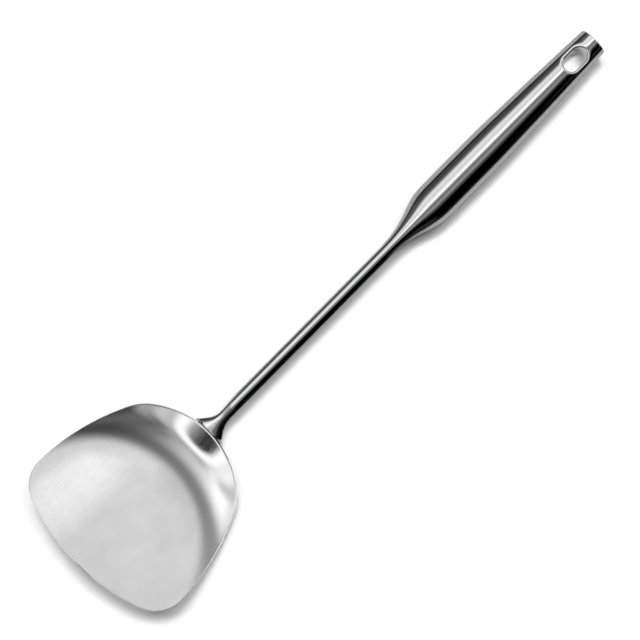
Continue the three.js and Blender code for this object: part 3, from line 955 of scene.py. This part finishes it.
def makeSurroundings():
    world = bpy.data.worlds.new("studio_surroundings")
    bpy.context.scene.world = world
    world.use_nodes = True
    tree = world.node_tree
    tree.nodes.clear()
    way = addNode(tree, "ShaderNodeTexCoord").outputs["Generated"]
    x, y, z = addNode(tree, "ShaderNodeSeparateXYZ", {0: way}).outputs
    across = mathNode(tree, "ARCTAN2", product(tree, y, -1), z)
    along = mathNode(tree, "ARCSINE", x)

    def fade(value, start, end):
        return spread(tree, value, radians(start), radians(end), 0, 1, "SMOOTHSTEP")

    def mixed(factor, first, second):
        return addNode(tree, "ShaderNodeMix", {"Factor": factor, 6: first, 7: second},
                       data_type="RGBA").outputs[2]

    light = lightRamp(tree, across, tent["strips"])
    for (start, end), strips in tent["changes"]:
        light = mixed(fade(along, start, end), light, lightRamp(tree, across, strips))

    opening = tent["opening"]
    offAlong = mathNode(tree, "SUBTRACT", along, radians(opening["along"]))
    offAcross = mathNode(tree, "SUBTRACT", across, radians(opening["across"]))
    offset = addNode(tree, "ShaderNodeCombineXYZ", {
        0: offAlong, 1: product(tree, offAcross, opening["squash"])}).outputs[0]
    apart = addNode(tree, "ShaderNodeVectorMath", {0: offset}, operation="LENGTH").outputs["Value"]
    light = mixed(fade(apart, opening["end"], opening["bright"]), light, grey(opening["edgeLevel"]))
    turnFrom, turnTo = opening["turn"]
    within = spread(tree, across, radians(turnFrom), radians(turnTo), *opening["levels"], "SMOOTHSTEP")
    light = mixed(fade(apart, opening["edge"], opening["dark"]), light, within)

    aside = mathNode(tree, "ABSOLUTE", across)
    window, lamp = tent["window"], tent["lamp"]
    pane = product(tree, fade(along, window["from"], window["to"]),
                   fade(aside, window["softAcross"], window["flatAcross"]))
    light = mixed(pane, light, grey(window["level"]))
    off = mathNode(tree, "ABSOLUTE", mathNode(tree, "SUBTRACT", along, radians(lamp["along"])))
    core = product(tree, fade(off, lamp["soft"], lamp["flat"]),
                   fade(aside, lamp["softAcross"], lamp["flatAcross"]))
    light = mixed(core, light, grey(lamp["level"]))

    rays = addNode(tree, "ShaderNodeLightPath").outputs
    mirrored = addNode(tree, "ShaderNodeBackground", {"Color": light, "Strength": studio["gain"]})
    soft = addNode(tree, "ShaderNodeBackground", {"Color": grey(1), "Strength": studio["ambient"]})
    seen = addNode(tree, "ShaderNodeBackground", {"Color": grey(1), "Strength": 1})
    lit = addNode(tree, "ShaderNodeMixShader", {
        0: rays["Is Glossy Ray"], 1: soft.outputs[0], 2: mirrored.outputs[0]})
    clear = mathNode(tree, "MAXIMUM", rays["Is Camera Ray"], rays["Is Transmission Ray"])
    out = addNode(tree, "ShaderNodeMixShader", {0: clear, 1: lit.outputs[0], 2: seen.outputs[0]})
    addNode(tree, "ShaderNodeOutputWorld", {"Surface": out.outputs[0]})


# A card between two corners that only the steel sees: a one by one grid, moved into place
def mirroredCard(name, corners, material):
    (x0, y0, z0), (x1, y1, z1) = corners
    card = stageGrid(name, 2, 0.5, material)
    for vert in card.data.vertices:
        u, v = vert.co.x + 0.5, vert.co.y + 0.5
        vert.co = (lerp(x0, x1, u), lerp(y0, y1, v), lerp(z0, z1, v))
    card.visible_camera = card.visible_diffuse = card.visible_shadow = False
    card.visible_transmission = False


# Strip light close above neck and handle
stripLight = {
    "corners": ((-0.085, -0.115, 0.06), (0.225, 0.115, 0.06)),
    "overAxis": 0.043,                 # height over the steel that its angles are counted from
    "strips": [(-66, 0.08), (-57, 0.2), (-51, 0.6), (-44, 0.76), (-28, 0.62), (-21, 0.74),
               (-15, 0.98), (-9, 1.0), (-5, 0.62), (0, 0.2), (5, 0.13), (11, 0.18), (18, 0.27),
               (24, 0.22), (30, 0.09), (38, 0.025), (45, 0)],
}


def makeStripLight():
    material = bareMaterial("strip_light")
    tree = material.node_tree
    place = addNode(tree, "ShaderNodeTexCoord").outputs["Object"]
    y = addNode(tree, "ShaderNodeSeparateXYZ", {0: place}).outputs[1]
    angle = mathNode(tree, "ARCTAN2", product(tree, y, -1), stripLight["overAxis"])
    glow = addNode(tree, "ShaderNodeEmission", {
        "Color": lightRamp(tree, angle, stripLight["strips"]), "Strength": studio["gain"]})
    addNode(tree, "ShaderNodeOutputMaterial", {"Surface": glow.outputs[0]})
    mirroredCard("strip_light", stripLight["corners"], material)


# Small black flag that stands beside the flare
neckFlag = {
    "corners": ((-0.0925, -0.0095, 0), (-0.072, -0.0095, 0.0135)),
    "tone": 0.01,
}


def makeNeckFlag():
    material = bareMaterial("neck_flag")
    tree = material.node_tree
    black = addNode(tree, "ShaderNodeBsdfDiffuse", {"Color": grey(neckFlag["tone"])})
    addNode(tree, "ShaderNodeOutputMaterial", {"Surface": black.outputs[0]})
    mirroredCard("neck_flag", neckFlag["corners"], material)


cameraSetup = {
    "place": (-0.0131, -0.00075, 1.0),
    "turn": -45.33,                    # degrees, like the width of its view
    "view": 18.96,
}


def makeCamera():
    data = bpy.data.cameras.new("overhead_camera")
    data.sensor_fit = "HORIZONTAL"
    data.angle = radians(cameraSetup["view"])
    camera = bpy.data.objects.new("overhead_camera", data)
    bpy.context.scene.collection.objects.link(camera)
    camera.location = cameraSetup["place"]
    camera.rotation_euler = (0, 0, radians(cameraSetup["turn"]))
    bpy.context.scene.camera = camera


# Three soft suns in a row lean so that shadows fall towards the lower edge of the picture, and a
# wide box hangs over the table; angles are in degrees
lamps = {
    "middle_sun": {"strength": 1.75, "angle": 15, "lean": 25, "round": 0},
    "left_sun": {"strength": 0.8, "angle": 16, "lean": 28, "round": 45},
    "right_sun": {"strength": 0.8, "angle": 16, "lean": 28, "round": -45},
    "wide_box": {"strength": 0.42, "angle": 60, "lean": 0, "round": 0},
}


def makeLamp(name, lamp):
    data = bpy.data.lights.new(name, "SUN")
    data.energy = lamp["strength"]
    data.angle = radians(lamp["angle"])
    sun = bpy.data.objects.new(name, data)
    bpy.context.scene.collection.objects.link(sun)
    lean, turn = radians(lamp["lean"]), radians(cameraSetup["turn"] + 90 + lamp["round"])
    towards = Vector((cos(turn) * sin(lean), sin(turn) * sin(lean), cos(lean)))
    sun.rotation_euler = towards.to_track_quat("Z", "Y").to_euler()
    sun.visible_glossy = False


makeFloor()
makeSurroundings()
makeStripLight()
makeNeckFlag()
for name, lamp in lamps.items():
    makeLamp(name, lamp)
makeCamera()
bpy.context.scene.view_settings.view_transform = "Standard"
print("studio ready")
